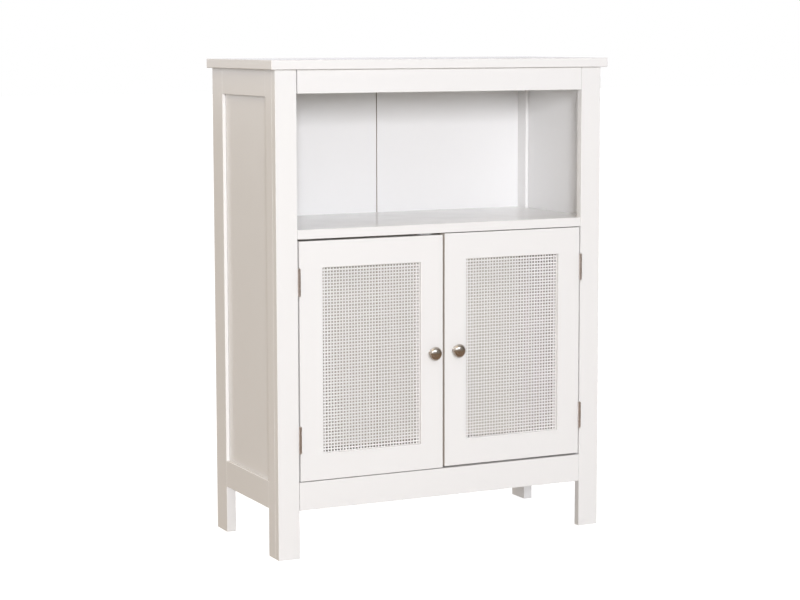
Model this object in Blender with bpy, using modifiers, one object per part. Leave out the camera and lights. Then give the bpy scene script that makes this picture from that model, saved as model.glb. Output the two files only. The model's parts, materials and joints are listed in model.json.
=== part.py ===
"""A white two-door storage cabinet with woven cane doors, modelled as its separate pieces.

Run it with: blender --background --python part.py, or from Blender's text editor.

Units are metres. +Z is up, the front faces -Y, and +X is to the right for a person facing the
front. The origin is on the floor, under the middle of the cabinet's bounding box.

The pieces are placed in the cabinet's own frame: x from the middle, y back from the front face
of the stiles, z up from the floor. An empty at that front face carries them all, and each door
hangs on an empty of its own that lies on the axis of its hinges.
"""

import math

import bmesh
import bpy
from mathutils import Matrix, Vector

MM = 0.001
GAP = 0.3 * MM  # clearance between neighbouring pieces
SIDES = (("left", -1), ("right", 1))

# Carcass
BODY_WIDTH = 666 * MM
BODY_DEPTH = 304 * MM
BODY_HEIGHT = 880 * MM  # floor to the underside of the top board
TOP_THICK = 17 * MM
TOP_OVERHANG_SIDE = 10 * MM
TOP_OVERHANG_FRONT = 10 * MM
TOP_OVERHANG_BACK = 4 * MM
FACE_STILE_WIDTH = 41 * MM
FACE_THICK = 15 * MM
SIDE_THICK = 18 * MM
FRONT_LEG_DEPTH = 45 * MM  # face stile and side stile together
REAR_STILE_DEPTH = 50 * MM
LEG_FREE = 88 * MM  # floor to the underside of the lower rails
SIDE_TOP_RAIL_HEIGHT = 48 * MM
SIDE_BOTTOM_RAIL_HEIGHT = 50 * MM
SIDE_PANEL_THICK = 4 * MM
SIDE_PANEL_RECESS = 7 * MM
FRONT_TOP_RAIL_BOTTOM = 837.6 * MM
# The front rails stand this far short of the left and the right stile.
TOP_RAIL_JOINTS = (2.1 * MM, 0.6 * MM)
BOTTOM_RAIL_JOINTS = (0.8 * MM, 0.3 * MM)
FRONT_BOTTOM_RAIL_TOP = 139.5 * MM
TONGUE = 5.2 * MM  # how far a panel reaches into its groove
GROOVE = 5.5 * MM

# Back
BACK_FACE = 286 * MM  # front face of the back panels
BACK_THICK = 3 * MM
BACK_SEAM = 1.6 * MM
BACK_RAIL_FRONT = 280 * MM
BACK_RAIL_THICK = 15 * MM
BACK_TOP_RAIL_BOTTOM = 838 * MM
JOINT_STRIP_WIDTH = 30 * MM

# Shelves and floor
SHELF_TOP = 596.1 * MM
SHELF_THICK = 16.9 * MM
FLOOR_THICK = 15 * MM

# Doors
DOOR_THICK = 18 * MM
DOOR_GAP = 3 * MM  # beside the hinges
MEETING_GAP = 4.2 * MM  # between the two doors
DOOR_HEIGHT = 434.4 * MM
HINGE_STILE = 45.5 * MM
LOCK_STILE = 44.9 * MM
DOOR_RAIL = 48.5 * MM
DOOR_HANG = 1.1 * MM  # the left door hangs this much low, the right door as much high
RABBET = 9 * MM
LIP = 6 * MM  # wood left in front of the cane
CANE_THICK = 1.2 * MM
BATTEN_WIDTH = 8.4 * MM

# Hinges
HINGE_LENGTH = 48 * MM
HINGE_MIDDLE = 359.9 * MM
HINGE_SPREAD = 142.5 * MM  # each hinge's centre, above or below the middle
HINGE_PROUD = 3 * MM  # pin axis, in front of the front face
KNUCKLES = 5
BARREL_RADIUS = 2.8 * MM
BORE_RADIUS = 1.7 * MM
HINGE_PIN_RADIUS = 1.35 * MM
HINGE_PIN_CAP = 2.4 * MM
LEAF_THICK = 1 * MM
LEAF_OFFSET = 0.2 * MM  # leaf's inner face, from the pin axis
LEAF_REACH = 14.2 * MM  # leaf's rear edge, back from the front face

# Knobs and catches
KNOB_RADIUS = 12.5 * MM
KNOB_LENGTH = 23 * MM
KNOB_RIM_START = 13.5 * MM
KNOB_RIM_END = 17 * MM
KNOB_SCREW_RADIUS = 1.9 * MM
KNOB_SCREW_HEAD = 4 * MM
KNOB_SCREW_HEAD_THICK = 2.4 * MM
KNOB_SCREW_GRIP = 9 * MM  # thread inside the knob
CATCH_SIZE = (38 * MM, 13 * MM, 15 * MM)
CATCH_MIDDLE = 27 * MM
STRIKE_SIZE = (26 * MM, 1.1 * MM, 11 * MM)
STRIKE_BELOW_TOP = 2.2 * MM
CATCH_FRONT = 20 * MM

# Worked out from the above
HALF_WIDTH = BODY_WIDTH / 2
OPENING_HALF = HALF_WIDTH - FACE_STILE_WIDTH
SIDE_INNER = HALF_WIDTH - SIDE_THICK
PANEL_OUTER = HALF_WIDTH - SIDE_PANEL_RECESS
PANEL_INNER = PANEL_OUTER - SIDE_PANEL_THICK
REAR_STILE_FRONT = BODY_DEPTH - REAR_STILE_DEPTH
POST_TOP = BODY_HEIGHT - GAP
SIDE_TOP_RAIL_BOTTOM = BODY_HEIGHT - SIDE_TOP_RAIL_HEIGHT
SIDE_BOTTOM_RAIL_TOP = LEG_FREE + SIDE_BOTTOM_RAIL_HEIGHT
SHELF_BOTTOM = SHELF_TOP - SHELF_THICK
FLOOR_TOP = FRONT_BOTTOM_RAIL_TOP - GAP
FLOOR_BOTTOM = FLOOR_TOP - FLOOR_THICK
BACK_BOTTOM_RAIL_TOP = FLOOR_BOTTOM - GAP
DOOR_OUTER = OPENING_HALF - DOOR_GAP
HINGE_X = OPENING_HALF - DOOR_GAP / 2
KNUCKLE = HINGE_LENGTH / KNUCKLES
KNOB_X = MEETING_GAP / 2 + LOCK_STILE / 2
FACE_Y = -(BODY_DEPTH + TOP_OVERHANG_BACK - KNOB_LENGTH - GAP) / 2

# Finish: colour, roughness, metallic
FINISHES = {
    "white_paint": ((0.87, 0.86, 0.84), 0.38, 0.0),
    "cane": ((0.88, 0.85, 0.79), 0.6, 0.0),
    "nickel": ((0.62, 0.57, 0.52), 0.28, 1.0),
    "steel": ((0.60, 0.60, 0.61), 0.35, 1.0),
    "white_plastic": ((0.85, 0.85, 0.84), 0.45, 0.0),
}


def clear_scene():
    for obj in list(bpy.data.objects):
        bpy.data.objects.remove(obj)


def collection(name, helper=False):
    made = bpy.data.collections.new(name)
    made.hide_render = helper
    bpy.context.scene.collection.children.link(made)
    return made


def material(name, finish):
    """The piece's own material in one of the finishes."""
    colour, roughness, metallic = FINISHES[finish]
    made = bpy.data.materials.new(f"{name}_{finish}")
    made.use_nodes = True
    shader = made.node_tree.nodes["Principled BSDF"]
    shader.inputs["Base Color"].default_value = (*colour, 1)
    shader.inputs["Roughness"].default_value = roughness
    shader.inputs["Metallic"].default_value = metallic
    return made


def axis_empty(name, place, parent=None):
    """An empty that carries pieces. Its place is in its parent's frame."""
    made = bpy.data.objects.new(name, None)
    made.empty_display_size = 50 * MM
    made.parent = parent
    made.location = place
    PARTS.objects.link(made)
    return made


def cabinet_place(carrier):
    """Where a carrier stands in the cabinet's frame."""
    return Vector(carrier.location) if carrier.parent else Vector((0, 0, 0))


def file_under(obj, group):
    for holder in list(obj.users_collection):
        holder.objects.unlink(obj)
    group.objects.link(obj)


def piece(obj, name, finish, centre, carrier):
    """Names a modelled shape, gives it its material and puts it on its carrier."""
    obj.name = name
    obj.data.name = name
    obj.data.materials.clear()
    obj.data.materials.append(material(name, finish))
    file_under(obj, PARTS)
    obj.parent = carrier
    obj.location = Vector(centre) - cabinet_place(carrier)
    return obj


def box_shape(low, high):
    """A box between two corners, with its origin at its middle. Returns it and that middle."""
    size = [b - a for a, b in zip(low, high)]
    centre = [(a + b) / 2 for a, b in zip(low, high)]
    bpy.ops.mesh.primitive_cube_add(size=1)
    obj = bpy.context.object
    obj.data.transform(Matrix.Diagonal((*size, 1)))
    return obj, centre


def board(name, low, high, carrier, finish="white_paint"):
    obj, centre = box_shape(low, high)
    return piece(obj, name, finish, centre, carrier)


def sided(side, low, high):
    """A box given for the right side, moved to the side asked for."""
    if side > 0:
        return low, high
    return (-high[0], *low[1:]), (-low[0], *high[1:])


def helper(obj, name, centre, carrier):
    """A cutting or joining shape, which isn't a piece of the cabinet."""
    obj.name = name
    obj.hide_render = True
    obj.display_type = "WIRE"
    file_under(obj, CUTTERS)
    obj.parent = carrier
    obj.location = Vector(centre) - cabinet_place(carrier)
    return obj


def combine(obj, tool, operation):
    change = obj.modifiers.new(tool.name, "BOOLEAN")
    change.operation = operation
    change.object = tool
    change.solver = "EXACT"


def cut_box(obj, name, low, high, carrier):
    tool, centre = box_shape(low, high)
    combine(obj, helper(tool, f"{obj.name}_{name}", centre, carrier), "DIFFERENCE")


def rods(spans, radius, axis, segments):
    """A mesh object with one rod for each (start, end) of spans along the axis, all on one line."""
    mesh = bpy.data.meshes.new("rods")
    shape = bmesh.new()
    turn = Vector((0, 0, 1)).rotation_difference(Vector(axis)).to_matrix().to_4x4()
    for start, end in spans:
        middle = Matrix.Translation((0, 0, (start + end) / 2))
        bmesh.ops.create_cone(shape, cap_ends=True, segments=segments, radius1=radius,
                              radius2=radius, depth=end - start, matrix=turn @ middle)
    shape.to_mesh(mesh)
    shape.free()
    obj = bpy.data.objects.new("rods", mesh)
    bpy.context.scene.collection.objects.link(obj)
    return obj


def turned(name, finish, profile, axis, centre, carrier, steps=24):
    """A turned piece. The profile's points are (radius, height), top first, along the axis."""
    mesh = bpy.data.meshes.new(name)
    outline = bmesh.new()
    points = [outline.verts.new((radius, 0, height)) for radius, height in profile]
    for first, second in zip(points, points[1:]):
        outline.edges.new((first, second))
    outline.to_mesh(mesh)
    outline.free()
    obj = bpy.data.objects.new(name, mesh)
    bpy.context.scene.collection.objects.link(obj)
    spin = obj.modifiers.new("turn", "SCREW")
    spin.steps = steps
    spin.render_steps = steps
    spin.use_merge_vertices = True
    spin.merge_threshold = 0.00001
    spin.use_smooth_shade = True
    piece(obj, name, finish, centre, carrier)
    obj.rotation_euler = Vector((0, 0, 1)).rotation_difference(Vector(axis)).to_euler()
    return obj


def arc(centre, radii, start, end, count):
    """Points of an ellipse's arc, from start to end in degrees, both ends included."""
    points = []
    for step in range(count + 1):
        angle = math.radians(start + (end - start) * step / count)
        points.append((centre[0] + radii[0] * math.cos(angle), centre[1] + radii[1] * math.sin(angle)))
    return points


def make_top(body):
    low = (-HALF_WIDTH - TOP_OVERHANG_SIDE, -TOP_OVERHANG_FRONT, BODY_HEIGHT)
    high = (HALF_WIDTH + TOP_OVERHANG_SIDE, BODY_DEPTH + TOP_OVERHANG_BACK, BODY_HEIGHT + TOP_THICK)
    board("top_board", low, high, body)


def cut_panel_groove(obj, side, y_low, y_high, z_low, z_high, body):
    """The groove that holds a side panel's edge."""
    low, high = sided(side, (PANEL_INNER - GAP, y_low, z_low), (PANEL_OUTER + GAP, y_high, z_high))
    cut_box(obj, "panel_groove", low, high, body)


def make_side_frame(word, side, body):
    """One side of the carcass: four posts and rails around a thin panel."""
    face = sided(side, (OPENING_HALF, 0, 0), (HALF_WIDTH, FACE_THICK, POST_TOP))
    board(f"front_face_stile_{word}", *face, body)

    low, high = (SIDE_INNER, FACE_THICK + GAP, 0), (HALF_WIDTH, FRONT_LEG_DEPTH, POST_TOP)
    front = board(f"front_side_stile_{word}", *sided(side, low, high), body)
    cut_panel_groove(front, side, FRONT_LEG_DEPTH - GROOVE, FRONT_LEG_DEPTH + GROOVE,
                     LEG_FREE + GROOVE, BODY_HEIGHT - GROOVE, body)

    low, high = (SIDE_INNER, REAR_STILE_FRONT, 0), (HALF_WIDTH, BODY_DEPTH, POST_TOP)
    rear = board(f"rear_stile_{word}", *sided(side, low, high), body)
    cut_panel_groove(rear, side, REAR_STILE_FRONT - GROOVE, REAR_STILE_FRONT + GROOVE,
                     LEG_FREE + GROOVE, BODY_HEIGHT - GROOVE, body)
    low = (SIDE_INNER - GROOVE, BACK_FACE - GAP, LEG_FREE + GROOVE)
    high = (SIDE_INNER + GROOVE, BACK_FACE + BACK_THICK + GAP, BODY_HEIGHT - GROOVE)
    cut_box(rear, "back_groove", *sided(side, low, high), body)

    y_low, y_high = FRONT_LEG_DEPTH + GAP, REAR_STILE_FRONT - GAP
    low, high = (SIDE_INNER, y_low, SIDE_TOP_RAIL_BOTTOM), (HALF_WIDTH, y_high, POST_TOP)
    top_rail = board(f"side_top_rail_{word}", *sided(side, low, high), body)
    cut_panel_groove(top_rail, side, y_low - GROOVE, y_high + GROOVE,
                     SIDE_TOP_RAIL_BOTTOM - GROOVE, SIDE_TOP_RAIL_BOTTOM + GROOVE, body)
    low, high = (SIDE_INNER, y_low, LEG_FREE), (HALF_WIDTH, y_high, SIDE_BOTTOM_RAIL_TOP)
    bottom_rail = board(f"side_bottom_rail_{word}", *sided(side, low, high), body)
    cut_panel_groove(bottom_rail, side, y_low - GROOVE, y_high + GROOVE,
                     SIDE_BOTTOM_RAIL_TOP - GROOVE, SIDE_BOTTOM_RAIL_TOP + GROOVE, body)

    low = (PANEL_INNER, FRONT_LEG_DEPTH - TONGUE, SIDE_BOTTOM_RAIL_TOP - TONGUE)
    high = (PANEL_OUTER, REAR_STILE_FRONT + TONGUE, SIDE_TOP_RAIL_BOTTOM + TONGUE)
    board(f"side_panel_{word}", *sided(side, low, high), body)


def make_front_rails(body):
    rails = (("front_top_rail", TOP_RAIL_JOINTS, FRONT_TOP_RAIL_BOTTOM, POST_TOP),
             ("front_bottom_rail", BOTTOM_RAIL_JOINTS, LEG_FREE, FRONT_BOTTOM_RAIL_TOP))
    for name, (left_joint, right_joint), z_low, z_high in rails:
        low = (left_joint - OPENING_HALF, 0, z_low)
        board(name, low, (OPENING_HALF - right_joint, FACE_THICK, z_high), body)


def make_back(body):
    """Two grooved rails, two thin panels that meet in the middle, and the strip behind their joint."""
    half = SIDE_INNER - GAP
    y_low, y_high = BACK_RAIL_FRONT, BACK_RAIL_FRONT + BACK_RAIL_THICK
    rails = (("back_top_rail", BACK_TOP_RAIL_BOTTOM, POST_TOP, BACK_TOP_RAIL_BOTTOM),
             ("back_bottom_rail", LEG_FREE, BACK_BOTTOM_RAIL_TOP, BACK_BOTTOM_RAIL_TOP))
    for name, z_low, z_high, edge in rails:
        rail = board(name, (-half, y_low, z_low), (half, y_high, z_high), body)
        cut_box(rail, "back_groove", (-HALF_WIDTH, BACK_FACE - GAP, edge - GROOVE),
                (HALF_WIDTH, BACK_FACE + BACK_THICK + GAP, edge + GROOVE), body)
    for word, side in SIDES:
        low = (BACK_SEAM / 2, BACK_FACE, BACK_BOTTOM_RAIL_TOP - TONGUE)
        high = (SIDE_INNER + TONGUE, BACK_FACE + BACK_THICK, BACK_TOP_RAIL_BOTTOM + TONGUE)
        board(f"back_panel_{word}", *sided(side, low, high), body)
    behind = BACK_FACE + BACK_THICK + GAP
    board("back_joint_strip", (-JOINT_STRIP_WIDTH / 2, behind, BACK_BOTTOM_RAIL_TOP + GAP),
          (JOINT_STRIP_WIDTH / 2, behind + BACK_THICK, BACK_TOP_RAIL_BOTTOM - GAP), body)


def make_fixed_shelf(body):
    """The shelf above the doors, notched around the stiles so that it meets the side panels."""
    reach = PANEL_INNER - GAP
    back = BACK_FACE - GAP
    shelf = board("fixed_shelf", (-reach, 0, SHELF_BOTTOM), (reach, back, SHELF_TOP), body)
    notches = (("face", OPENING_HALF - GAP, -GROOVE, FACE_THICK + GAP),
               ("front", SIDE_INNER - GAP, -GROOVE, FRONT_LEG_DEPTH + GAP),
               ("rear", SIDE_INNER - GAP, REAR_STILE_FRONT - GAP, BODY_DEPTH))
    for word, side in SIDES:
        for name, x_low, y_low, y_high in notches:
            low, high = (x_low, y_low, SHELF_BOTTOM - GROOVE), (HALF_WIDTH, y_high, SHELF_TOP + GROOVE)
            cut_box(shelf, f"{name}_notch_{word}", *sided(side, low, high), body)


def make_floor_panel(body):
    half = SIDE_INNER - GAP
    board("floor_panel", (-half, FACE_THICK + GAP, FLOOR_BOTTOM), (half, BACK_FACE - GAP, FLOOR_TOP), body)


def make_catch(word, side, body):
    """A magnetic catch under the fixed shelf: a housing with a screwed ear at each end."""
    wide, deep, tall = CATCH_SIZE
    top = SHELF_BOTTOM - GAP
    core = wide / 2 - 7 * MM
    low = (CATCH_MIDDLE - core, CATCH_FRONT, top - tall)
    high = (CATCH_MIDDLE + core, CATCH_FRONT + deep, top)
    catch = board(f"magnetic_catch_{word}", *sided(side, low, high), body, "white_plastic")
    low = (CATCH_MIDDLE - wide / 2, CATCH_FRONT + 2 * MM, top - 2.5 * MM)
    high = (CATCH_MIDDLE + wide / 2, CATCH_FRONT + deep - 2 * MM, top)
    ears, centre = box_shape(*sided(side, low, high))
    combine(catch, helper(ears, f"catch_ears_{word}", centre, body), "UNION")


def knuckle_spans(owner):
    """The stretches of the barrel, about its middle, that belong to the frame's leaf or the door's."""
    first = 0 if owner == "frame" else 1
    spans = []
    for index in range(first, KNUCKLES, 2):
        start = -HINGE_LENGTH / 2 + index * KNUCKLE
        spans.append((start, start + KNUCKLE))
    return spans


def make_leaf(name, side, owner, height, carrier):
    """A hinge leaf: a plate with its own knuckles on it, notched for those of the other leaf."""
    towards = side if owner == "frame" else -side
    inner, outer = sorted((towards * LEAF_OFFSET, towards * (LEAF_OFFSET + LEAF_THICK)))
    axis_x, axis_y = side * HINGE_X, -HINGE_PROUD
    low = (axis_x + inner, axis_y + BORE_RADIUS + GAP, height - HINGE_LENGTH / 2)
    high = (axis_x + outer, LEAF_REACH, height + HINGE_LENGTH / 2)
    leaf = board(name, low, high, carrier, "nickel")
    middle = (axis_x, axis_y, height)
    whole = [(-HINGE_LENGTH / 2, HINGE_LENGTH / 2)]
    other = "door" if owner == "frame" else "frame"
    reach = HINGE_LENGTH / 2
    notches = []
    for start, end in knuckle_spans(other):
        below = GAP / 2 if start > -reach + GAP else GROOVE
        above = GAP / 2 if end < reach - GAP else GROOVE
        notches.append((start - below, end + above))
    steps = (("barrel", whole, BARREL_RADIUS, "UNION", 20),
             ("notches", notches, BARREL_RADIUS + GAP, "DIFFERENCE", 20),
             ("bore", [(-HINGE_LENGTH, HINGE_LENGTH)], BORE_RADIUS, "DIFFERENCE", 16))
    for word, spans, radius, operation, segments in steps:
        tool = rods(spans, radius, (0, 0, 1), segments)
        combine(leaf, helper(tool, f"{name}_{word}", middle, carrier), operation)


def make_hinge(place, word, side, height, body, door):
    make_leaf(f"{word}_{place}_hinge_frame_leaf", side, "frame", height, body)
    make_leaf(f"{word}_{place}_hinge_door_leaf", side, "door", height, door)
    top = HINGE_LENGTH / 2 + GAP
    profile = [(0, top + 1.2 * MM), (HINGE_PIN_CAP * 0.7, top + 0.9 * MM), (HINGE_PIN_CAP, top + 0.2 * MM),
               (HINGE_PIN_CAP, top), (HINGE_PIN_RADIUS, top), (HINGE_PIN_RADIUS, -top - 0.8 * MM),
               (0, -top - 0.8 * MM)]
    turned(f"{word}_{place}_hinge_pin", "nickel", profile, (0, 0, 1),
           (side * HINGE_X, -HINGE_PROUD, height), body, steps=16)


def make_knob(word, side, height, door):
    """A turned knob with a domed face and a blind hole for its screw."""
    neck = 5 * MM
    profile = arc((0, KNOB_RIM_END), (KNOB_RADIUS, KNOB_LENGTH - KNOB_RIM_END), 90, 0, 7)
    profile += arc((neck, KNOB_RIM_START), (KNOB_RADIUS - neck, 4.5 * MM), 0, -90, 5)
    profile += [(neck, 4 * MM), (7 * MM, 1.5 * MM), (7 * MM, 0), (0, 0)]
    knob = turned(f"{word}_knob", "nickel", profile, (0, -1, 0), (side * KNOB_X, -GAP, height), door)
    tool = rods([(-KNOB_SCREW_GRIP - 2 * GAP, GROOVE)], KNOB_SCREW_RADIUS + GAP, (0, 1, 0), 16)
    combine(knob, helper(tool, f"{word}_knob_hole", (side * KNOB_X, 0, height), door), "DIFFERENCE")
    back = DOOR_THICK + GAP
    profile = [(0, KNOB_SCREW_GRIP), (KNOB_SCREW_RADIUS, KNOB_SCREW_GRIP), (KNOB_SCREW_RADIUS, -back),
               (KNOB_SCREW_HEAD, -back), (KNOB_SCREW_HEAD, -back - KNOB_SCREW_HEAD_THICK * 0.6),
               (KNOB_SCREW_HEAD * 0.7, -back - KNOB_SCREW_HEAD_THICK), (0, -back - KNOB_SCREW_HEAD_THICK)]
    turned(f"{word}_knob_screw", "steel", profile, (0, -1, 0), (side * KNOB_X, 0, height), door, steps=16)


def make_door_frame(word, side, bottom, door):
    """One board with a window. A rabbet behind the window takes the cane and its battens."""
    x_low, x_high = MEETING_GAP / 2, DOOR_OUTER
    top = bottom + DOOR_HEIGHT
    low, high = (x_low, 0, bottom), (x_high, DOOR_THICK, top)
    frame = board(f"{word}_door_frame", *sided(side, low, high), door)
    low = (x_low + LOCK_STILE, -DOOR_THICK, bottom + DOOR_RAIL)
    high = (x_high - HINGE_STILE, 2 * DOOR_THICK, top - DOOR_RAIL)
    cut_box(frame, "window", *sided(side, low, high), door)
    low = (low[0] - RABBET, LIP, low[2] - RABBET)
    high = (high[0] + RABBET, 2 * DOOR_THICK, high[2] + RABBET)
    cut_box(frame, "rabbet", *sided(side, low, high), door)
    knob_hole = rods([(-DOOR_THICK, 2 * DOOR_THICK)], KNOB_SCREW_RADIUS + GAP, (0, 1, 0), 16)
    place = (side * KNOB_X, 0, bottom + DOOR_HEIGHT / 2)
    combine(frame, helper(knob_hole, f"{word}_door_knob_hole", place, door), "DIFFERENCE")


def make_door_cane(word, side, bottom, door):
    """The cane lies against the rabbet's lip, and four battens hold it from behind."""
    x_low = MEETING_GAP / 2 + LOCK_STILE - RABBET + GAP
    x_high = DOOR_OUTER - HINGE_STILE + RABBET - GAP
    z_low = bottom + DOOR_RAIL - RABBET + GAP
    z_high = bottom + DOOR_HEIGHT - DOOR_RAIL + RABBET - GAP
    y_cane = LIP + GAP
    low, high = (x_low, y_cane, z_low), (x_high, y_cane + CANE_THICK, z_high)
    board(f"{word}_door_cane", *sided(side, low, high), door, "cane")
    y_low, y_high = y_cane + CANE_THICK + GAP, DOOR_THICK - GAP
    z_in_low, z_in_high = z_low + BATTEN_WIDTH, z_high - BATTEN_WIDTH
    battens = (("bottom", x_low, x_high, z_low, z_in_low),
               ("top", x_low, x_high, z_in_high, z_high),
               ("lock", x_low, x_low + BATTEN_WIDTH, z_in_low + GAP, z_in_high - GAP),
               ("hinge", x_high - BATTEN_WIDTH, x_high, z_in_low + GAP, z_in_high - GAP))
    for name, x_start, x_end, z_start, z_end in battens:
        low, high = (x_start, y_low, z_start), (x_end, y_high, z_end)
        board(f"{word}_door_{name}_batten", *sided(side, low, high), door)


def make_strike(word, side, bottom, door):
    """The steel plate on the door's back that the magnet holds."""
    wide, thick, tall = STRIKE_SIZE
    top = bottom + DOOR_HEIGHT - STRIKE_BELOW_TOP
    low = (CATCH_MIDDLE - wide / 2, DOOR_THICK + GAP, top - tall)
    high = (CATCH_MIDDLE + wide / 2, DOOR_THICK + GAP + thick, top)
    board(f"{word}_strike_plate", *sided(side, low, high), door, "steel")


def make_door(word, side, body):
    slack = SHELF_BOTTOM - FRONT_BOTTOM_RAIL_TOP - DOOR_HEIGHT
    bottom = FRONT_BOTTOM_RAIL_TOP + slack / 2 + side * DOOR_HANG
    door = axis_empty(f"{word}_door_axis", (side * HINGE_X, -HINGE_PROUD, 0), body)
    make_door_frame(word, side, bottom, door)
    make_door_cane(word, side, bottom, door)
    make_knob(word, side, bottom + DOOR_HEIGHT / 2, door)
    make_strike(word, side, bottom, door)
    for place, way in (("upper", 1), ("lower", -1)):
        make_hinge(place, word, side, HINGE_MIDDLE + way * HINGE_SPREAD, body, door)


def make_cabinet():
    body = axis_empty("cabinet_front_face", (0, FACE_Y, 0))
    make_top(body)
    for word, side in SIDES:
        make_side_frame(word, side, body)
    make_front_rails(body)
    make_back(body)
    make_fixed_shelf(body)
    make_floor_panel(body)
    for word, side in SIDES:
        make_catch(word, side, body)
        make_door(word, side, body)


clear_scene()
PARTS = collection("storage_cabinet")
CUTTERS = collection("cutters", helper=True)
make_cabinet()
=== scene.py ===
"""The looks of a white two-door storage cabinet with woven cane doors.

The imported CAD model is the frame. Its boards stay as they are and get eased edges and a satin
paint. The flat cane sheets and the knobs are replaced by finely modelled ones, and the small
screws that the CAD model leaves out are added. Units are metres, +Z is up, the front faces -Y.
"""

import json
import math
import random

import bmesh
import bpy
import numpy as np
from mathutils import Matrix, Vector


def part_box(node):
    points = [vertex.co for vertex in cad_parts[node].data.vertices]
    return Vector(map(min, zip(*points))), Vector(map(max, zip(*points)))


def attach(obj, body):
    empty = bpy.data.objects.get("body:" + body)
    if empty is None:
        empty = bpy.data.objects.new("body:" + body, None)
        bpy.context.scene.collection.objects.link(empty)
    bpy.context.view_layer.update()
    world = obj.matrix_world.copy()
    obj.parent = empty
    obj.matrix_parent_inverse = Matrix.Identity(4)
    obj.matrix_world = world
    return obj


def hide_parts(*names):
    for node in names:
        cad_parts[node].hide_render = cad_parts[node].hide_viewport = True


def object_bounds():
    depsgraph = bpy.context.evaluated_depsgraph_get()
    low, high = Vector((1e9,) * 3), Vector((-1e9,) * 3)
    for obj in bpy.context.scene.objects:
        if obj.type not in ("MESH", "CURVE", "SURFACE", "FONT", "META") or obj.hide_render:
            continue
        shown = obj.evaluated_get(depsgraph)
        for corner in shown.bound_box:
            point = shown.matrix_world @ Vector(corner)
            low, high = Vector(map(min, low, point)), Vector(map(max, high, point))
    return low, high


MM = 0.001
SIDES = (("left", -1), ("right", 1))
PLACES = ("upper", "lower")

# Camera
CAMERA_PLACE = (-1.7613, -3.5639, 0.9344)
CAMERA_YAW = 26.04  # degrees, from straight ahead towards +X
CAMERA_PITCH = 6.45  # degrees, downwards
CAMERA_ROLL = -0.123  # degrees
CAMERA_LENS = 94.66  # mm
CAMERA_SENSOR = 36  # mm, its width
CAMERA_SHIFT = -0.03  # upwards, as a share of the sensor's width

# Light: softboxes as azimuth from straight in front (+ towards +X), elevation, distance, width and
# height, watts and colour, and the sky's colour in each direction, all round the cabinet's middle
SOFTBOXES = {
    "key": (-21.5, 9.2, 18, (2.9, 3.4), 2110, (1, 1.005, 1.05)),
    "fill": (-18, 24, 2.2, (1.0, 1.0), 6, (1, 1, 1.01)),
    "side": (-80, 58, 4, (2.2, 2.2), 27, (1, 0.81, 0.5)),
    "glint": (-18, 28, 3.5, (4.5, 0.9), 52, (0.9, 0.99, 1.1)),
}
DULL = ("key", "fill")  # not mirrored in glossy surfaces
GLINT = "glint"  # seen only as a reflection
DIRECTIONS = (("right", "X", 1), ("left", "X", -1), ("back", "Y", 1), ("front", "Y", -1),
              ("top", "Z", 1))
SKY = {
    "right": (0.9, 0.9, 0.9),
    "left": (0.2, 0.1, 0),
    "front": (0, 0, 0),
    "back": (1.35, 1.35, 1.36),
    "top": (0.42, 0.42, 0.43),
}
MIRRORED_SKY = {  # what reflections see instead
    "right": (0.10, 0.09, 0.08),
    "left": (0.6, 0.53, 0.46),
    "front": (0.36, 0.33, 0.30),
    "back": (1.1, 1.11, 1.2),
    "top": (0.48, 0.45, 0.42),
}
BACKDROP = (1, 1, 1, 1)

# Floor
FLOOR_SIZE = 60
FLOOR_TONE = (0.62, 0.6, 0.57)
MIRRORED_FLOOR = (0.34, 0.25, 0.18)  # what reflections see instead
SHOWN_FLOOR = (0.5, 0.5, 0.5, 1)  # what the camera sees, together with the glow
FLOOR_GLOW = 0.86

# Edges
BOARD_EDGE = 0.7 * MM
TOP_EDGE = 1.4 * MM
PANEL_EDGE = 0.3 * MM
METAL_EDGE = 0.2 * MM
EDGE_STEPS = 3
EDGE_ANGLE = 32  # degrees, what counts as an edge
FLAT_ANGLE = 0.5  # degrees, between facets that are one face
SHARP_ANGLE = 35  # degrees, what stays sharp on a turned piece
SAME_POINT = 0.01 * MM

# Noise in the surfaces, as features per metre, detail, and the values that count as 0 and 1
PAINT_CLOUDS = (1.5, 2, 0.2, 0.8)
PAINT_SHEEN = (12, 2, 0.3, 0.7)
METAL_CLOUDS = (240, 4, 0.3, 0.7)
METAL_SHEEN = (900, 3, 0.3, 0.7)
PLASTIC_SPECKLE = (500, 3, 0.3, 0.7)
CANE_FIBRES = (2600, 3, 0.25, 0.75)
FIBRE_STRETCH = 0.05  # features along a strand, for each one across it

# Relief in the surfaces, as features per metre and detail, and its depth
ROLLER_WAVES, WAVE_DEPTH = (30, 1), 0.02 * MM
ROLLER_STIPPLE, STIPPLE_DEPTH = (700, 2), 0.003 * MM
METAL_GRAIN = (2500, 2)
PLASTIC_GRAIN, PLASTIC_DEPTH = (1800, 2), 0.02 * MM
FIBRE_DEPTH = 0.012 * MM

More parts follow.
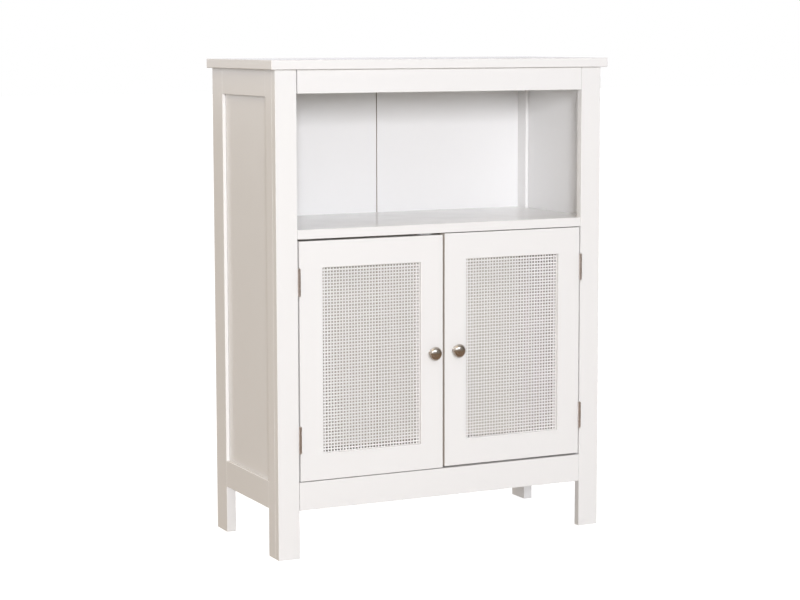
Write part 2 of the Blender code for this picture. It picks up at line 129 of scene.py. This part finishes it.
# Paint, as colour and roughness
BOARD_PAINT = ((0.85, 0.843, 0.832), 0.17)
PANEL_PAINT = ((0.85, 0.845, 0.838), 0.24)
PAINT_DARKEST = 0.988  # of the colour, in its clouds
PAINT_ROUGHNESS = (-0.015, 0.02)  # least and most, from the middle
PAINT_SPECULAR = 0.45
PAINTED_SHADE_AND_RAW_SEAM_BOXES = {  # painted shade inside the cupboard and on the doors' meeting edges, and raw board with painted shade in the back's seam, as middle, half the size, fade and colour
    # painted shade: the inside of the cupboard, which only light through the cane reaches, is
    # darker
    "cupboard_painted_shade": ((0, 0.0119, 0.352), (0.3235, 0.1334, 0.2285), 1.5 * MM, (0.56, 0.515, 0.47)),
    # painted shade: the doors' edges in the narrow gap between them are darker
    "doors_meeting_painted_shade": ((0, -0.1332, 0.3595), (0.0026, 0.0084, 0.219), 0.3 * MM, (0.64, 0.58, 0.52)),
    # raw board and painted shade: the seam between the back's two panels is darker
    "back_seam_raw_and_shaded": ((0, 0.1455, 0.49), (0.0012, 0.002, 0.36), 0.3 * MM, (0.46, 0.39, 0.33)),
}

# Metal, as colour, roughness and depth of the grain, and plastic, as colour and roughness
KNOB_NICKEL = ((0.66, 0.60, 0.54), 0.22, 0.002 * MM)
HINGE_NICKEL = ((0.80, 0.76, 0.74), 0.34, 0.002 * MM)
ZINC = ((0.62, 0.62, 0.63), 0.32, 0.003 * MM)
METAL_DARKEST = 0.85
METAL_ROUGHNESS = (-0.05, 0.06)
PLASTIC = ((0.80, 0.80, 0.79), 0.48)
PLASTIC_DARKEST = 0.95

# Cane
BARK = ((0.90, 0.88, 0.86), (0.95, 0.94, 0.93))  # between fibres, and on them
PITH = ((0.36, 0.26, 0.18), (0.50, 0.39, 0.29))
BARK_FACING = (-0.35, -0.7)  # the normal's Y where pith turns into bark, from and to
CANE_ROUGHNESS = (0.34, 0.48)  # from strand to strand
CANE_PITCH_ACROSS = 5.8 * MM
CANE_PITCH_UP = 5.66 * MM
STRAND_WIDTH = 2.9 * MM
STRAND_WIDTHS = (0.93, 1.06)  # the least and the most of that
STRAND_THICK = 0.42 * MM
STRAND_CROWN = 0.8  # the flat front's share of the width
STRAND_GAP = 0.03 * MM  # half the space between strands where they cross
STRAND_STEPS = 4  # rings per crossing
STRAND_DRIFT = 0.16 * MM
DRIFT_TURNS = (0.06, 0.2)  # radians of the drift's wave in each crossing, least and most
WEAVE_SLOPE = 0.3225  # smaller is a steeper step between front and back
CANE_SEED = 11

# Knob, with heights from the door outwards
KNOB_STEPS = 96
BORE_RADIUS, BORE_DEPTH = 2.2 * MM, 9.3 * MM
FOOT_RADIUS, FOOT_HEIGHT = 7 * MM, 1.2 * MM
FLARE, FLARE_TOP = (2 * MM, 3 * MM), 4.5 * MM
NECK_RADIUS = 5 * MM
RIM_START, RIM_END, RIM_EDGE = 13.5 * MM, 17 * MM, 0.7 * MM
UNDERCUT = 4.5 * MM  # depth of the curve from the neck to the rim

# Screws: heads as radius and height, and their places from the middle of what they hold
HINGE_HEAD = (2.6 * MM, 0.14 * MM)
CATCH_HEAD = (2.3 * MM, 0.9 * MM)
STRIKE_HEAD = (1.9 * MM, 0.3 * MM)
BACK_HEAD = (3.0 * MM, 1.3 * MM)
HEAD_STEPS = 32
HEAD_SKIRT = 0.2  # how deep a head goes in, as a share of its height
HEAD_TURN = 1.1  # radians, from one head to the next
RECESS = (1.15, 0.22)  # length and width, as shares of the head's radius
HINGE_SCREWS = ((-17 * MM, 4.6 * MM), (0, 7.6 * MM), (17 * MM, 4.6 * MM))  # up, in from the rear
CATCH_SCREWS = 12 * MM
STRIKE_SCREWS = 8 * MM
BACK_SCREWS = (60 * MM, 170 * MM, 280 * MM)  # across, from the middle of the cabinet


def add_object(name, data):
    """A new object in the scene."""
    made = bpy.data.objects.new(name, data)
    bpy.context.scene.collection.objects.link(made)
    return made


# ---------------------------------------------------------------- camera, stage and light


def make_camera():
    data = bpy.data.cameras.new("camera")
    data.lens = CAMERA_LENS
    data.sensor_width = CAMERA_SENSOR
    data.shift_y = CAMERA_SHIFT
    camera = add_object("camera", data)
    turn = Matrix.Rotation(math.radians(-CAMERA_YAW), 4, "Z")
    tilt = Matrix.Rotation(math.radians(90 - CAMERA_PITCH), 4, "X")
    roll = Matrix.Rotation(math.radians(CAMERA_ROLL), 4, "Z")
    camera.matrix_world = Matrix.Translation(CAMERA_PLACE) @ turn @ tilt @ roll
    bpy.context.scene.camera = camera


def around(target, azimuth, elevation, distance):
    """A place round the target: azimuth 0 is straight in front, and + goes towards +X."""
    a, e = math.radians(azimuth), math.radians(elevation)
    step = Vector((math.sin(a) * math.cos(e), -math.cos(a) * math.cos(e), math.sin(e)))
    return target + step * distance


def make_lights(middle):
    """The softboxes, which all face the cabinet's middle."""
    for name, (azimuth, elevation, distance, size, power, colour) in SOFTBOXES.items():
        data = bpy.data.lights.new(name, "AREA")
        data.shape = "RECTANGLE"
        data.size, data.size_y = size
        data.energy = power
        data.color = colour
        light = add_object(name, data)
        light.location = around(middle, azimuth, elevation, distance)
        light.rotation_euler = (middle - light.location).to_track_quat("-Z", "Y").to_euler()
        light.visible_camera = False
        light.visible_glossy = name not in DULL
        light.visible_diffuse = name != GLINT


def sky_light(tree, colours):
    """The sky's colour. Each direction's share is its cosine's square: together they make one."""
    towards = tree.nodes.new("ShaderNodeTexCoord")
    split = tree.nodes.new("ShaderNodeSeparateXYZ")
    tree.links.new(towards.outputs["Generated"], split.inputs[0])
    total = None
    for name, axis, sign in DIRECTIONS:
        facing = maths(tree, "MAXIMUM", maths(tree, "MULTIPLY", split.outputs[axis], sign), 0)
        share = maths(tree, "POWER", facing, 2)
        lit = tree.nodes.new("ShaderNodeVectorMath")
        lit.operation = "SCALE"
        lit.inputs[0].default_value = colours[name]
        tree.links.new(share, lit.inputs["Scale"])
        if total is None:
            total = lit.outputs[0]
            continue
        added = tree.nodes.new("ShaderNodeVectorMath")
        tree.links.new(total, added.inputs[0])
        tree.links.new(lit.outputs[0], added.inputs[1])
        total = added.outputs[0]
    return total


def choose_shader(tree, factor, first, second, out_type):
    """Sends the first shader, or the second where the factor is 1, to a new output node."""
    choose = tree.nodes.new("ShaderNodeMixShader")
    out = tree.nodes.new(out_type)
    for socket, source in zip(choose.inputs, (factor, first.outputs[0], second.outputs[0])):
        tree.links.new(source, socket)
    tree.links.new(choose.outputs[0], out.inputs[0])


def make_world():
    """A white backdrop for the camera, a soft sky for light, and a warmer room in reflections."""
    world = bpy.data.worlds.new("studio")
    bpy.context.scene.world = world
    world.use_nodes = True
    tree = world.node_tree
    tree.nodes.clear()
    path = tree.nodes.new("ShaderNodeLightPath")
    sky, mirrored = sky_light(tree, SKY), sky_light(tree, MIRRORED_SKY)
    light = tree.nodes.new("ShaderNodeBackground")
    seen = mix_colour(tree, path.outputs["Is Glossy Ray"], sky, mirrored)
    tree.links.new(seen, light.inputs["Color"])
    backdrop = tree.nodes.new("ShaderNodeBackground")
    backdrop.inputs["Color"].default_value = BACKDROP
    choose_shader(tree, path.outputs["Is Camera Ray"], light, backdrop, "ShaderNodeOutputWorld")


def make_floor():
    """A pale floor. The camera sees it close to white, with only a faint shadow."""
    bpy.ops.mesh.primitive_plane_add(size=FLOOR_SIZE, location=(0, 0, 0))
    floor = bpy.context.object
    floor.name = "floor"
    made = bpy.data.materials.new("floor_white")
    made.use_nodes = True
    tree = made.node_tree
    tree.nodes.clear()
    path = tree.nodes.new("ShaderNodeLightPath")
    matt = tree.nodes.new("ShaderNodeBsdfDiffuse")
    tone = mix_colour(tree, path.outputs["Is Glossy Ray"], FLOOR_TONE, MIRRORED_FLOOR)
    tree.links.new(tone, matt.inputs["Color"])
    shown = tree.nodes.new("ShaderNodeBsdfDiffuse")
    shown.inputs["Color"].default_value = SHOWN_FLOOR
    glow = tree.nodes.new("ShaderNodeEmission")
    glow.inputs["Strength"].default_value = FLOOR_GLOW
    seen = tree.nodes.new("ShaderNodeAddShader")
    tree.links.new(shown.outputs[0], seen.inputs[0])
    tree.links.new(glow.outputs[0], seen.inputs[1])
    choose_shader(tree, path.outputs["Is Camera Ray"], matt, seen, "ShaderNodeOutputMaterial")
    floor.data.materials.append(made)


# ---------------------------------------------------------------- node helpers


def maths(tree, operation, first, second):
    made = tree.nodes.new("ShaderNodeMath")
    made.operation = operation
    for socket, value in zip(made.inputs, (first, second)):
        if isinstance(value, (int, float)):
            socket.default_value = value
        else:
            tree.links.new(value, socket)
    return made.outputs[0]


def map_range(tree, value, from_low, from_high, to_low, to_high):
    made = tree.nodes.new("ShaderNodeMapRange")
    tree.links.new(value, made.inputs["Value"])
    made.inputs["From Min"].default_value = from_low
    made.inputs["From Max"].default_value = from_high
    made.inputs["To Min"].default_value = to_low
    made.inputs["To Max"].default_value = to_high
    return made.outputs["Result"]


def mix_colour(tree, factor, first, second):
    made = tree.nodes.new("ShaderNodeMix")
    made.data_type = "RGBA"
    tree.links.new(factor, made.inputs["Factor"])
    for socket, value in ((made.inputs["A"], first), (made.inputs["B"], second)):
        if isinstance(value, tuple):
            socket.default_value = (*value, 1)
        else:
            tree.links.new(value, socket)
    return made.outputs["Result"]


def split_coordinates(tree, kind):
    """X, Y and Z of the place (Object) or of the normal (Normal), on the piece at rest."""
    split = tree.nodes.new("ShaderNodeSeparateXYZ")
    tree.links.new(tree.nodes.new("ShaderNodeTexCoord").outputs[kind], split.inputs[0])
    return split.outputs


def noise(tree, scale, detail, stretch=None):
    """Noise over the piece's own coordinates, in features per metre."""
    place = tree.nodes.new("ShaderNodeTexCoord").outputs["Object"]
    if stretch:
        mapping = tree.nodes.new("ShaderNodeMapping")
        mapping.inputs["Scale"].default_value = stretch
        tree.links.new(place, mapping.inputs["Vector"])
        place = mapping.outputs["Vector"]
    made = tree.nodes.new("ShaderNodeTexNoise")
    made.inputs["Scale"].default_value = scale
    made.inputs["Detail"].default_value = detail
    tree.links.new(place, made.inputs["Vector"])
    return made.outputs["Fac"]


def vary(tree, layer, low=0, high=1, stretch=None):
    """A value between low and high, which follows the layer of noise."""
    scale, detail, from_low, from_high = layer
    return map_range(tree, noise(tree, scale, detail, stretch), from_low, from_high, low, high)


def bump(tree, height, distance, under=None):
    made = tree.nodes.new("ShaderNodeBump")
    made.inputs["Distance"].default_value = distance
    tree.links.new(height, made.inputs["Height"])
    if under:
        tree.links.new(under, made.inputs["Normal"])
    return made.outputs["Normal"]


# ---------------------------------------------------------------- materials


def shader_of(name):
    made = bpy.data.materials.new(name)
    made.use_nodes = True
    return made, made.node_tree, made.node_tree.nodes["Principled BSDF"]


def mottled(tree, colour, darkest, layer):
    """The colour, and down to the darkest share of it where the layer of noise is low."""
    return mix_colour(tree, vary(tree, layer), tuple(c * darkest for c in colour), colour)


def uneven(tree, roughness, spread, layer):
    """The roughness, less and more by the spread, which follows the layer of noise."""
    return vary(tree, layer, *(roughness + offset for offset in spread))


def box_share(tree, middle, half_size, fade):
    """1 inside the box and 0 outside it, from the place on the piece at rest."""
    share = None
    for value, centre, half in zip(split_coordinates(tree, "Object"), middle, half_size):
        offset = maths(tree, "ABSOLUTE", maths(tree, "SUBTRACT", value, centre), 0)
        within = map_range(tree, maths(tree, "SUBTRACT", offset, half), -fade, 0, 1, 0)
        share = within if share is None else maths(tree, "MULTIPLY", share, within)
    return share


def paint(name, colour, roughness):
    """Satin paint: faint unevenness in tone and gloss, and the fine stipple that a roller leaves.

    Painted shade darkens the inside of the cupboard and the doors' meeting edges, and the seam of
    the back shows raw board together with painted shade.
    """
    made, tree, shader = shader_of(name)
    shade = mottled(tree, colour, PAINT_DARKEST, PAINT_CLOUDS)
    # each box darkens the paint: painted shade, and raw board with painted shade in the back's seam
    for middle, half_size, fade, shade_and_seam_tone in PAINTED_SHADE_AND_RAW_SEAM_BOXES.values():
        shade = mix_colour(tree, box_share(tree, middle, half_size, fade), shade, shade_and_seam_tone)
    tree.links.new(shade, shader.inputs["Base Color"])
    sheen = uneven(tree, roughness, PAINT_ROUGHNESS, PAINT_SHEEN)
    tree.links.new(sheen, shader.inputs["Roughness"])
    waves = bump(tree, noise(tree, *ROLLER_WAVES), WAVE_DEPTH)
    stipple = bump(tree, noise(tree, *ROLLER_STIPPLE), STIPPLE_DEPTH, under=waves)
    tree.links.new(stipple, shader.inputs["Normal"])
    shader.inputs["Specular IOR Level"].default_value = PAINT_SPECULAR
    return made


def cane_strand(name, along):
    """Bleached cane: fine fibres along the strand, and the tan pith on its edges and its back."""
    made, tree, shader = shader_of(name)
    stretch = tuple(FIBRE_STRETCH if axis == along else 1.0 for axis in "xyz")
    fibres = vary(tree, CANE_FIBRES, stretch=stretch)
    bark, pith = (mix_colour(tree, fibres, *colours) for colours in (BARK, PITH))
    front = map_range(tree, split_coordinates(tree, "Normal")["Y"], *BARK_FACING, 0, 1)
    tree.links.new(mix_colour(tree, front, pith, bark), shader.inputs["Base Color"])
    tone = tree.nodes.new("ShaderNodeAttribute")
    tone.attribute_name = "tone"
    sheen = map_range(tree, tone.outputs["Fac"], 0, 1, *CANE_ROUGHNESS)
    tree.links.new(sheen, shader.inputs["Roughness"])
    tree.links.new(bump(tree, fibres, FIBRE_DEPTH), shader.inputs["Normal"])
    return made


def metal(name, colour, roughness, grain):
    """Plated metal with a fine grain and slightly uneven polish."""
    made, tree, shader = shader_of(name)
    shader.inputs["Metallic"].default_value = 1
    shade = mottled(tree, colour, METAL_DARKEST, METAL_CLOUDS)
    tree.links.new(shade, shader.inputs["Base Color"])
    sheen = uneven(tree, roughness, METAL_ROUGHNESS, METAL_SHEEN)
    tree.links.new(sheen, shader.inputs["Roughness"])
    tree.links.new(bump(tree, noise(tree, *METAL_GRAIN), grain), shader.inputs["Normal"])
    return made


def plastic(name, colour, roughness):
    """Moulded plastic with a fine matt texture."""
    made, tree, shader = shader_of(name)
    shade = mottled(tree, colour, PLASTIC_DARKEST, PLASTIC_SPECKLE)
    tree.links.new(shade, shader.inputs["Base Color"])
    shader.inputs["Roughness"].default_value = roughness
    grain = bump(tree, noise(tree, *PLASTIC_GRAIN), PLASTIC_DEPTH)
    tree.links.new(grain, shader.inputs["Normal"])
    return made


def make_materials():
    """One for each of the record's slots but the cane, and a paler nickel for the hinges."""
    return {
        "painted_board": paint("board_paint", *BOARD_PAINT),
        "painted_panel": paint("panel_paint", *PANEL_PAINT),
        "nickel": metal("satin_nickel", *KNOB_NICKEL),
        "hinge": metal("hinge_nickel", *HINGE_NICKEL),
        "steel": metal("zinc_steel", *ZINC),
        "white_plastic": plastic("catch_plastic", *PLASTIC),
    }


# ---------------------------------------------------------------- CAD nodes


def clear_shading(mesh):
    """Drops the facets' own normals, so that the modifiers below set the shading."""
    for name in ("custom_normal", "sharp_edge", "sharp_face"):
        found = mesh.attributes.get(name)
        if found:
            mesh.attributes.remove(found)


def ease_edges(obj, width):
    """Welds the facets, rounds every real edge, and shades the flats flat and the rounds smooth."""
    clear_shading(obj.data)
    weld = obj.modifiers.new("weld", "WELD")
    weld.merge_threshold = SAME_POINT
    flat = obj.modifiers.new("merge_facets", "DECIMATE")
    flat.decimate_type = "DISSOLVE"
    flat.angle_limit = math.radians(FLAT_ANGLE)
    bevel = obj.modifiers.new("eased_edges", "BEVEL")
    bevel.width = width
    bevel.segments = EDGE_STEPS
    bevel.limit_method = "ANGLE"
    bevel.angle_limit = math.radians(EDGE_ANGLE)
    bevel.use_clamp_overlap = True
    bevel.harden_normals = True


def finish_cad_nodes(materials):
    """Materials and edges for every node but the cane sheets, which are replaced."""
    edges = {"painted_board": BOARD_EDGE, "painted_panel": PANEL_EDGE, "nickel": METAL_EDGE,
             "steel": METAL_EDGE, "white_plastic": PANEL_EDGE}
    for row in frame["record"]["subparts"]:
        name, slot = row["node"], row["material_slot"]
        if slot not in materials:
            continue
        obj = frame["nodes"][name]
        for place in obj.material_slots:
            place.material = materials["hinge" if "_hinge_" in name and slot == "nickel" else slot]
        ease_edges(obj, TOP_EDGE if name == "top_board" else edges[slot])


# ---------------------------------------------------------------- woven cane


def weave_height(turn):
    """How far a strand stands off the middle of the weave, from -1 to 1, over half-turns."""
    wave = np.cos(np.pi * turn)
    return math.sqrt(1 + WEAVE_SLOPE) * wave / np.sqrt(wave * wave + WEAVE_SLOPE)


def strand_section(width):
    """A strand's cross-section, as (across, proud) pairs: flat in front and ridged behind."""
    half, thick = width / 2, STRAND_THICK / 2
    crown = STRAND_CROWN * half
    return [(-half, 0), (-crown, thick), (crown, thick), (half, 0), (0, -thick)]


def strand_rings(along, across, proud, width, upright):
    """Points of a strand's rings: upright strands run along z, the others along x."""
    rings = []
    for offset, rise in strand_section(width):
        sideways, depth = across + offset, proud - rise
        pair = (sideways, along) if upright else (along, sideways)
        rings.append(np.stack([pair[0], depth, pair[1]], axis=1))
    return np.stack(rings, axis=1)


def strand_faces(base, count, sides, upright):
    """A closed strand's faces: its sides, then both ends. Its points start at base."""
    last = base + (count - 1) * sides
    faces = []
    for ring in range(base, last, sides):
        for s in range(sides):
            t = (s + 1) % sides
            faces.append((ring + s, ring + t, ring + sides + t, ring + sides + s))
    faces.append(tuple(range(base, base + sides))[::-1])
    faces.append(tuple(range(last, last + sides)))
    return faces if upright else [face[::-1] for face in faces]


def make_cane(name, low, high, body, materials):
    """A woven sheet in the box from low to high: upright and level strands, over and under."""
    dice = random.Random(CANE_SEED + len(name))
    size = high - low
    columns, rows = int(size.x / CANE_PITCH_ACROSS), int(size.z / CANE_PITCH_UP)
    pitch_x, pitch_z = size.x / columns, size.z / rows
    middle = (low.y + high.y) / 2
    swing = STRAND_THICK / 2 + STRAND_GAP
    points, faces, slots, tones = [], [], [], []
    for upright, count, pitch, side, crossings, step, end in (
            (True, columns, pitch_x, low.x, rows, pitch_z, low.z),
            (False, rows, pitch_z, low.z, columns, pitch_x, low.x)):
        samples = np.arange(crossings * STRAND_STEPS + 1) / STRAND_STEPS
        along = end + samples * step
        for index in range(count):
            phase = dice.uniform(0, 2 * math.pi)
            drift = STRAND_DRIFT * np.sin(samples * dice.uniform(*DRIFT_TURNS) + phase)
            width = STRAND_WIDTH * dice.uniform(*STRAND_WIDTHS)
            across = side + (index + 0.5) * pitch + drift
            lead = index if upright else index + 1
            proud = middle - swing * weave_height(samples - 0.5 + lead)
            rings = strand_rings(along, across, proud, width, upright)
            made = strand_faces(len(tones), *rings.shape[:2], upright)
            points.append(rings.reshape(-1, 3))
            faces += made
            slots += [0 if upright else 1] * len(made)
            tones += [dice.random()] * len(points[-1])
    mesh = bpy.data.meshes.new(name)
    mesh.from_pydata(np.concatenate(points).tolist(), [], faces)
    mesh.polygons.foreach_set("material_index", slots)
    mesh.shade_smooth()
    tone = mesh.attributes.new("tone", "FLOAT", "POINT")
    tone.data.foreach_set("value", tones)
    for made_of in materials:
        mesh.materials.append(made_of)
    mesh.validate()
    cane = add_object(name, mesh)
    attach(cane, body)
    return cane


def make_cane_panels():
    strands = cane_strand("cane_upright", "z"), cane_strand("cane_level", "x")
    for word, _ in SIDES:
        low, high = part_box(f"{word}_door_cane")
        cane = make_cane(f"{word}_woven_cane", low, high, f"{word}_door", strands)
        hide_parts(f"{word}_door_cane")


# ---------------------------------------------------------------- turned and small pieces


def turned_mesh(name, profile, steps):
    """A closed turned body. The profile is (radius, height) pairs, from the axis to the axis."""
    work = bmesh.new()
    turn = [2 * math.pi * k / steps for k in range(steps)]
    rings = []
    for radius, height in profile:
        places = [(radius * math.cos(a), radius * math.sin(a), height) for a in turn]
        if radius < SAME_POINT:
            places = [(0, 0, height)]
        rings.append([work.verts.new(place) for place in places])
    for low, high in zip(rings, rings[1:]):
        for k in range(steps):
            corners = [low[k % len(low)], low[(k + 1) % len(low)],
                       high[(k + 1) % len(high)], high[k % len(high)]]
            work.faces.new([v for n, v in enumerate(corners) if v not in corners[:n]])
    bmesh.ops.recalc_face_normals(work, faces=work.faces)
    mesh = bpy.data.meshes.new(name)
    work.to_mesh(mesh)
    work.free()
    mesh.shade_smooth()
    mesh.set_sharp_from_angle(angle=math.radians(SHARP_ANGLE))
    return mesh


def arc(centre, radii, start, end, steps):
    """Points on part of an ellipse, from the start angle to the end angle in degrees."""
    turn = [math.radians(start + (end - start) * k / steps) for k in range(steps + 1)]
    return [(centre[0] + radii[0] * math.cos(a), centre[1] + radii[1] * math.sin(a)) for a in turn]


def knob_profile(length, radius):
    """From the bore's blind end over the foot, up the neck, round the rim and to the dome's top."""
    edge = radius - RIM_EDGE
    profile = [(0, BORE_DEPTH), (BORE_RADIUS, BORE_DEPTH), (BORE_RADIUS, 0), (FOOT_RADIUS, 0),
               (FOOT_RADIUS, FOOT_HEIGHT)]
    profile += arc((FOOT_RADIUS, FLARE_TOP), FLARE, 250, 180, 8)
    profile += arc((NECK_RADIUS, RIM_START), (edge - NECK_RADIUS, UNDERCUT), -90, -12, 14)
    profile += arc((edge, RIM_START + RIM_EDGE), (RIM_EDGE, RIM_EDGE), -60, 0, 5)
    profile += arc((edge, RIM_END - RIM_EDGE), (RIM_EDGE, RIM_EDGE), 0, 75, 6)
    profile += arc((0, RIM_END), (edge, length - RIM_END), 8, 90, 22)
    return profile


def make_knobs(materials):
    """Domed knobs with a rolled rim, a waisted neck and a flared foot."""
    for word, _ in SIDES:
        low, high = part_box(f"{word}_knob")
        profile = knob_profile(high.y - low.y, (high.x - low.x) / 2)
        mesh = turned_mesh(f"{word}_nickel_knob", profile, KNOB_STEPS)
        mesh.materials.append(materials["nickel"])
        knob = add_object(f"{word}_nickel_knob", mesh)
        knob.location = ((low.x + high.x) / 2, high.y, (low.z + high.z) / 2)
        knob.rotation_euler = (math.radians(90), 0, 0)
        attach(knob, f"{word}_door")
        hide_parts(f"{word}_knob")


def cross_mesh(radius, height):
    """Two crossed bars, centred on the top of a screw's head, to cut its recess with."""
    work = bmesh.new()
    length, width = (radius * share for share in RECESS)
    for turn in (0, 90):
        size = Matrix.Diagonal((length, width, height, 1))
        lift = Matrix.Translation((0, 0, height))
        place = Matrix.Rotation(math.radians(turn), 4, "Z") @ lift @ size
        bmesh.ops.create_cube(work, size=1, matrix=place)
    mesh = bpy.data.meshes.new("cross")
    work.to_mesh(mesh)
    work.free()
    return mesh


def screw_head(radius, height):
    """A low domed head with a cross recess. It stands on z = 0, and its skirt goes below."""
    base = -HEAD_SKIRT * height
    profile = [(0, base), (radius, base)] + arc((0, 0), (radius, height), 0, 90, 8)
    head = add_object("head", turned_mesh("screw_head", profile, HEAD_STEPS))
    cutter = add_object("cross", cross_mesh(radius, height))
    cut = head.modifiers.new("recess", "BOOLEAN")
    cut.operation = "DIFFERENCE"
    cut.solver = "EXACT"
    cut.use_self = True
    cut.object = cutter
    reader = bpy.context.evaluated_depsgraph_get()
    result = bpy.data.meshes.new_from_object(head.evaluated_get(reader))
    for made in (head, cutter):
        bpy.data.objects.remove(made)
    return result


def make_screws(name, head, places, outward, body, made_of):
    """Heads at the given places in one piece, all facing the outward direction."""
    work = bmesh.new()
    turn = Vector((0, 0, 1)).rotation_difference(Vector(outward)).to_matrix().to_4x4()
    for number, place in enumerate(places):
        own = Matrix.Rotation(HEAD_TURN * number, 4, "Z")
        copy = head.copy()
        copy.transform(Matrix.Translation(place) @ turn @ own)
        work.from_mesh(copy)
        bpy.data.meshes.remove(copy)
    mesh = bpy.data.meshes.new(name)
    work.to_mesh(mesh)
    work.free()
    mesh.materials.clear()
    mesh.materials.append(made_of)
    screws = add_object(name, mesh)
    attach(screws, body)


def leaf_face(word, place, owner):
    """Where the leaf's face to the other leaf lies, read at its rear edge."""
    mesh = frame["nodes"][f"{word}_{place}_hinge_{owner}_leaf"].data
    rear = max(v.co.y for v in mesh.vertices)
    across = [v.co.x for v in mesh.vertices if v.co.y > rear - SAME_POINT]
    inward = min if (word == "right") == (owner == "frame") else max
    return inward(across)


def make_hinge_screws(materials):
    """Three heads on the face of each hinge leaf, in the narrow space between the leaves."""
    head = screw_head(*HINGE_HEAD)
    for word, side in SIDES:
        for place in PLACES:
            for owner, body, towards in (("frame", "root", -side), ("door", f"{word}_door", side)):
                low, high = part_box(f"{word}_{place}_hinge_{owner}_leaf")
                face = leaf_face(word, place, owner)
                middle = (low.z + high.z) / 2
                rows = [(face, high.y - reach, middle + up) for up, reach in HINGE_SCREWS]
                make_screws(f"{word}_{place}_hinge_{owner}_screws", head, rows, (towards, 0, 0),
                            body, materials["hinge"])


def make_other_screws(materials):
    """Screws of the catches, the strike plates and the back."""
    catch_head, strike_head = screw_head(*CATCH_HEAD), screw_head(*STRIKE_HEAD)
    back_head = screw_head(*BACK_HEAD)
    steel = materials["steel"]
    levels = [sum(corner.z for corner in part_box(board)) / 2
              for board in ("floor_panel", "fixed_shelf")]
    for word, side in SIDES:
        low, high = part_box(f"magnetic_catch_{word}")
        middle = (low + high) / 2
        rows = [(middle.x + s * CATCH_SCREWS, middle.y, low.z) for s in (-1, 1)]
        make_screws(f"{word}_catch_screws", catch_head, rows, (0, 0, -1), "root", steel)
        low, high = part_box(f"{word}_strike_plate")
        middle = (low + high) / 2
        rows = [(middle.x + s * STRIKE_SCREWS, high.y, middle.z) for s in (-1, 1)]
        make_screws(f"{word}_strike_screws", strike_head, rows, (0, 1, 0), f"{word}_door",
                    steel)
        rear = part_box(f"back_panel_{word}")[1].y
        rows = [(side * across, rear, level) for level in levels for across in BACK_SCREWS]
        make_screws(f"{word}_back_screws", back_head, rows, (0, 1, 0), "root", steel)


# ---------------------------------------------------------------- the scene


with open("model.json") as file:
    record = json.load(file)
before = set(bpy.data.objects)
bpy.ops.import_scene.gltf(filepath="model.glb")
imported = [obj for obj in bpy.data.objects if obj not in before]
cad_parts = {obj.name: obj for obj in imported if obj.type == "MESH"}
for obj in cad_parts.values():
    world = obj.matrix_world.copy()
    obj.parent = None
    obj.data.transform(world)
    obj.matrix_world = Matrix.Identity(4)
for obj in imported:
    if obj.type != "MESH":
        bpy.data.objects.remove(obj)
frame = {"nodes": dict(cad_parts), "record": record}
cad_low, cad_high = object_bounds()
make_camera()
make_world()
make_lights((cad_low + cad_high) / 2)
make_floor()
surfaces = make_materials()
finish_cad_nodes(surfaces)
make_cane_panels()
make_knobs(surfaces)
make_hinge_screws(surfaces)
make_other_screws(surfaces)
bpy.context.scene.view_settings.view_transform = "Standard"
